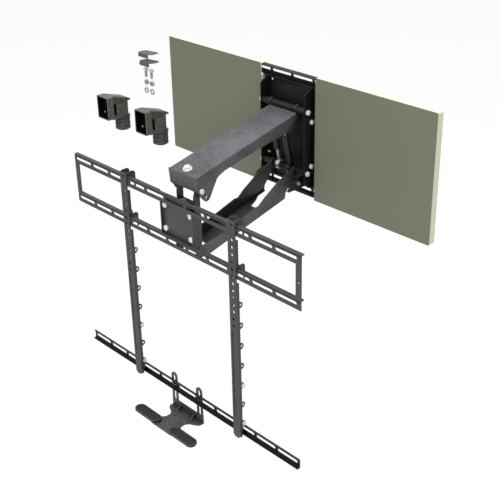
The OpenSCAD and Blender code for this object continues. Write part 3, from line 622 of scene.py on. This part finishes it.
def plate(builder, outline, thickness, place, holes=()):
    """A flat outline made thick, with holes right through it.

    place turns (u, v, w) in millimetres into a point."""
    faces = fill(builder, (outline, *holes), lambda u, v: place(u, v, 0))
    raise_faces(builder, faces, place(0, 0, thickness) - place(0, 0, 0))


# %% Round stretches of an outline
ARC_STEPS, CIRCLE_POINTS = 12, 24


def arc(centre_u, centre_v, radius, start_deg, end_deg, steps=ARC_STEPS):
    """Points on an arc, for an outline."""
    turn = [math.radians(start_deg + (end_deg - start_deg) * i / steps)
            for i in range(steps + 1)]
    return [(centre_u + radius * math.cos(t), centre_v + radius * math.sin(t))
            for t in turn]


def circle(centre_u, centre_v, radius):
    """Points on a full circle, each of them once."""
    return arc(centre_u, centre_v, radius, 0, 360 - 360 / CIRCLE_POINTS,
               CIRCLE_POINTS - 1)


# %% [markdown]
# ## Handles
# Deep in each handle's mouth the shade is black, so the mouth gets a black lining as
# painted shade, with the same hole in its back as the mouth. It also lines the slot in
# the housing's right side, which lies in shade too. It could be a row of thin boxes, but
# these would have to
# be fitted to each other. Bare faces along the walls are enough, because solidify
# then gives them all a thickness. The sizes are in millimetres from the middle of
# the mouth's front, so both handles share them.


# %% Where a handle is
def handle_place(side_name):
    """Half the box's width and height, and a function that places points."""
    low, high = span("handle_%s_box" % side_name)
    heart = Vector(((low.x + high.x) / 2, low.y, (low.z + high.z) / 2))

    def spot(x, y, z):
        return heart + Vector((x, y, z)) * MM

    return (high.x - low.x) / 2 / MM, (high.z - low.z) / 2 / MM, spot


# %% Linings
MOUTH_WALL, LINING_FRONT, MOUTH_DEPTH = 2.5, 1.0, 16.0
HOLE_U, HOLE_V, HOLE_R = -16.0, -18.0, 3.5
SKIN, LINING_T = 0.4, 0.2
NECK_R = 17.0
SLOT_X, SLOT_FRONT, SLOT_BACK, SLOT_FOOT, SLOT_TOP = 13.0, 20.0, 31.0, -23.0, 7.0


def quad(builder, points):
    """One face through the given points."""
    builder.faces.new([builder.verts.new(point) for point in points])


def lining(side_name):
    """A black lining of painted shade on the mouth's four walls and back, and in the
    housing's slot.
    """
    half_w, half_h, spot = handle_place(side_name)
    w, h = half_w - MOUTH_WALL, half_h - MOUTH_WALL
    corners = [(-w, -h), (w, -h), (w, h), (-w, h)]
    builder = bmesh.new()
    for (u0, v0), (u1, v1) in zip(corners, corners[1:] + corners[:1]):
        inward = Vector((v0 - v1, u1 - u0)).normalized() * SKIN
        quad(builder, [spot(u + inward.x, y, v + inward.y) for u, v, y in
                       ((u0, v0, LINING_FRONT), (u1, v1, LINING_FRONT),
                        (u1, v1, MOUTH_DEPTH), (u0, v0, MOUTH_DEPTH))])
    fill(builder, (corners, circle(HOLE_U, HOLE_V, HOLE_R)),
         lambda u, v: spot(u, MOUTH_DEPTH - SKIN, v))
    slot_walls = [(SLOT_X + SKIN, SLOT_FRONT), (SLOT_X + SKIN, SLOT_BACK - SKIN),
                  (NECK_R - SKIN, SLOT_BACK - SKIN)]
    for (x0, y0), (x1, y1) in zip(slot_walls, slot_walls[1:]):
        quad(builder, [spot(x0, y0, SLOT_FOOT), spot(x1, y1, SLOT_FOOT),
                       spot(x1, y1, SLOT_TOP), spot(x0, y0, SLOT_TOP)])
    bmesh.ops.remove_doubles(builder, verts=builder.verts, dist=MERGE)
    bmesh.ops.recalc_face_normals(builder, faces=builder.faces)
    bmesh.ops.solidify(builder, geom=builder.faces[:], thickness=LINING_T * MM)
    finished("handle_%s_lining" % side_name, builder, mouth_shade_black,
             "television_side")


# %% [markdown]
# Behind the mouth the housing swells to the grip, under a cap that slopes down and
# away. Its front left corner is cut back, clear of the hole in the mouth. Its right
# side has a slot behind the mouth over the middle of its height, so it is stacked
# from three plates, and the middle one has the slot in its outline. The plates lap
# a little, so each stays a closed shell.

# %% Housings
NECK_FRONT, GRIP_BACK, NECK_FOOT, NECK_TOP, LAP = 17.0, 60.0, -34.0, 9.0, 0.05
BOX_BACK, CUT_X, CUT_Y = 19.0, -11.5, 25.5
CAP_T = 2.5
CAP_OUTLINE = [(-22.0, 20.0, 27.5), (22.0, 20.0, 27.5), (20.5, 72.0, 12.0),
               (16.5, 78.0, 9.0), (-16.5, 78.0, 9.0), (-20.5, 72.0, 12.0)]


def housing(side_name):
    """The neck round the grip and the sloping cap over it."""
    spot = handle_place(side_name)[2]
    back = arc(0, GRIP_BACK, NECK_R, 0, 180) + [(-NECK_R, CUT_Y), (CUT_X, BOX_BACK)]
    whole = [(NECK_R, NECK_FRONT)] + back
    slotted = [(SLOT_X, BOX_BACK), (SLOT_X, SLOT_BACK), (NECK_R, SLOT_BACK)] + back
    levels = [NECK_FOOT, SLOT_FOOT, SLOT_TOP, NECK_TOP]
    builder = bmesh.new()
    for outline, foot, top in zip((whole, slotted, whole), levels, levels[1:]):
        plate(builder, outline, top - foot + LAP,
              lambda u, v, w, foot=foot: spot(u, v, foot + w))
    lid = builder.faces.new([builder.verts.new(spot(x, y, z))
                             for x, y, z in CAP_OUTLINE])
    raise_faces(builder, [lid], (0, 0, CAP_T * MM))
    finished("handle_%s_housing" % side_name, builder, handle_abs,
             "television_side")


for side_name in ("left", "right"):
    lining(side_name)
    housing(side_name)
print("handle pieces: lining and housing on both sides")

# %% [markdown]
# ## Clips
# The two clips are small plates with two holes and a lip turned down along the
# front. The real ones are bent round a radius, which catches the light, and the CAD
# ones are sharp. So these stand for the CAD ones, in the same place: a pierced plate,
# and the bend and lip as one section drawn from the side and made wide.

# %% Clips with a rounded bend
CLIP_COUNT, CLIP_STEP_X, CLIP_STEP_Z = 2, 2.0, -21.0
CLIP_T, CLIP_LIP, CLIP_BEND, CLIP_FOLD = 1.5, 9.0, 2.0, 3.5
LIP_START, LIP_W, BEND_STEPS = 1.0, 36.0, 5
CLIP_HOLES = [circle(19, 14, 3.0), circle(36, 22, 2.5)]
CLIP_OUTLINE = [(0, CLIP_FOLD), (0, 14), (5, 23), (38, 29), (45, 27), (45, 11),
                (40, CLIP_FOLD)]
lip_section = (arc(CLIP_FOLD, -CLIP_BEND, CLIP_BEND + CLIP_T, 90, 180, BEND_STEPS)
               + [(0.0, -CLIP_LIP), (CLIP_T, -CLIP_LIP)]
               + arc(CLIP_FOLD, -CLIP_BEND, CLIP_BEND, 180, 90, BEND_STEPS))
low, high = span("cable_clips")
builder = bmesh.new()
for i in range(CLIP_COUNT):
    corner = Vector((low.x + i * CLIP_STEP_X * MM, low.y,
                     high.z - CLIP_T * MM + i * CLIP_STEP_Z * MM))
    plate(builder, CLIP_OUTLINE, CLIP_T,
          lambda u, v, w, c=corner: c + Vector((u, v, w)) * MM, CLIP_HOLES)
    plate(builder, lip_section, LIP_W,
          lambda u, v, w, c=corner: c + Vector((LIP_START + w, u, v)) * MM)
clips = finished("clips", builder, clip_coat, "television_side")
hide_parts("cable_clips")
print("clips:", CLIP_COUNT, "with", len(CLIP_HOLES), "holes each")

# %% [markdown]
# ## Floor
# A catalogue picture has a white ground. A large floor under the lowest pad takes
# the shadow. It lies well below the pads, because the shelf sinks when the arms go
# down, and because a far shadow is a soft one.

# %% Floor
FLOOR_DROP, FLOOR_SIZE = 0.15, 30.0
low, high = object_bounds()
floor_mesh = bpy.data.meshes.new("floor")
builder = bmesh.new()
bmesh.ops.create_grid(builder, x_segments=1, y_segments=1, size=FLOOR_SIZE)
bmesh.ops.translate(builder, verts=builder.verts, vec=(0, 0, low.z - FLOOR_DROP))
builder.to_mesh(floor_mesh)
builder.free()
floor = bpy.data.objects.new("floor", floor_mesh)
bpy.context.scene.collection.objects.link(floor)
floor_paint, floor_shader = new_material("white studio floor", "#f4f4f4", 0.9)
floor_mesh.materials.append(floor_paint)
print("floor height, m:", round(low.z - FLOOR_DROP, 3))

# %% [markdown]
# The camera sees the floor as clean paper: most of what it sees is plain white, and
# the lit floor is mixed in only as far as a faint shadow asks for. Every other ray
# meets an ordinary matt white floor, so the light that it throws back is right. The
# floor's underside is clear, so a view from below isn't blocked.

# %% Floor seen by the camera
SHADOW_SHARE = 0.22
PAPER_LEVEL = 1.12
lit = floor_shader.outputs[0]
eye = add(floor_paint, "ShaderNodeLightPath").outputs["Is Camera Ray"]
rear = add(floor_paint, "ShaderNodeNewGeometry").outputs["Backfacing"]
paper = add(floor_paint, "ShaderNodeEmission", Strength=PAPER_LEVEL).outputs[0]
clear = add(floor_paint, "ShaderNodeBsdfTransparent").outputs[0]
shadowed = add(floor_paint, "ShaderNodeMixShader", [(1, paper), (2, lit)],
               [(0, SHADOW_SHARE)]).outputs[0]
upper_side = add(floor_paint, "ShaderNodeMixShader",
                 [(0, eye), (1, lit), (2, shadowed)]).outputs[0]
both_sides = add(floor_paint, "ShaderNodeMixShader",
                 [(0, rear), (1, upper_side), (2, clear)]).outputs[0]
surface = floor_paint.node_tree.nodes["Material Output"].inputs["Surface"]
floor_paint.node_tree.links.new(both_sides, surface)
print("share of lit floor that the camera sees:", SHADOW_SHARE)

# %% [markdown]
# ## World
# The world is white to the camera and in reflections, as a studio's paper sweep is,
# and a plain light grey to everything else, so that it only fills the shadows. The
# Light Path node tells the two apart.

# %% World
FILL_STRENGTH = 0.4
world = bpy.data.worlds.new("studio")
bpy.context.scene.world = world
world.use_nodes = True
world.node_tree.nodes.clear()
path = add(world, "ShaderNodeLightPath")
seen = add(world, "ShaderNodeMath", [(0, path.outputs["Is Camera Ray"]),
                                     (1, path.outputs["Is Glossy Ray"])],
           operation="MAXIMUM")
fill_light = add(world, "ShaderNodeBackground", Strength=FILL_STRENGTH)
white = add(world, "ShaderNodeBackground", Color=linear("#ffffff"), Strength=1.0)
mix = add(world, "ShaderNodeMixShader", [(0, seen.outputs[0]),
                                         (1, fill_light.outputs[0]),
                                         (2, white.outputs[0])])
add(world, "ShaderNodeOutputWorld", [(0, mix.outputs[0])])
print("world fill:", FILL_STRENGTH)

# %% [markdown]
# ## Lamps
# Three large square lamps stand round the mount, as softboxes do. The one overhead
# is the strongest and a touch cool, which gives the arms' tops their bluish grey.
# The ones in front and at the right are warmer and show the sheets' sides.

# %% Soft lamps
MIDDLE = Vector((0.0, -0.25, -0.1))


def soft_lamp(name, place, size, power, hex_colour):
    """A square area lamp that looks at the middle of the mount."""
    data = bpy.data.lights.new(name, "AREA")
    data.size, data.energy = size, power
    data.color = linear(hex_colour)[:3]
    lamp = bpy.data.objects.new(name, data)
    lamp.location = place
    aim = MIDDLE - Vector(place)
    lamp.rotation_euler = aim.to_track_quat("-Z", "Y").to_euler()
    bpy.context.scene.collection.objects.link(lamp)
    return lamp


COOL, WARM = "#eef3ff", "#fffdf2"
lamps = [soft_lamp("overhead", (0.2, -0.6, 2.6), 2.2, 84, COOL),
         soft_lamp("front", (-0.6, -3.2, 2.2), 1.8, 42, WARM),
         soft_lamp("right", (2.6, -2.0, 1.1), 1.5, 30, WARM)]
print("lamps:", [lamp.name for lamp in lamps])

# %% [markdown]
# ## Camera
# The camera stands where the photograph's perspective puts it: its place, turn and
# lens were solved from the object's own straight edges. Its three directions are
# worked out from the turn, the tilt and the roll, and form its matrix.

# %% Camera
YAW, PITCH, ROLL = math.radians(47.01), math.radians(27.38), math.radians(-1.16)
PLACE = Vector((1.787, -1.834, 0.958))
FOCAL_PX, FRAME_PX, SENSOR_MM = 993.3, 500, 36.0
forward = Vector((-math.sin(YAW) * math.cos(PITCH),
                  math.cos(YAW) * math.cos(PITCH), -math.sin(PITCH)))
level = Vector((math.cos(YAW), math.sin(YAW), 0))
rise = level.cross(forward)
side = math.cos(ROLL) * level + math.sin(ROLL) * rise
top = -math.sin(ROLL) * level + math.cos(ROLL) * rise
turn = Matrix((side, top, -forward)).transposed().to_4x4()
camera_data = bpy.data.cameras.new("camera")
camera_data.sensor_width = SENSOR_MM
camera_data.lens = FOCAL_PX * SENSOR_MM / FRAME_PX
camera = bpy.data.objects.new("camera", camera_data)
camera.matrix_world = Matrix.Translation(PLACE) @ turn
bpy.context.scene.collection.objects.link(camera)
bpy.context.scene.camera = camera
print("lens, mm:", round(camera_data.lens, 1))

# %% [markdown]
# ## View
# Blender's usual view rolls strong light off, as film does, which would grey the
# white ground. The Standard view shows each colour as it is written.

# %% View
view = bpy.context.scene.view_settings
view.view_transform = "Standard"
print("view:", view.view_transform)
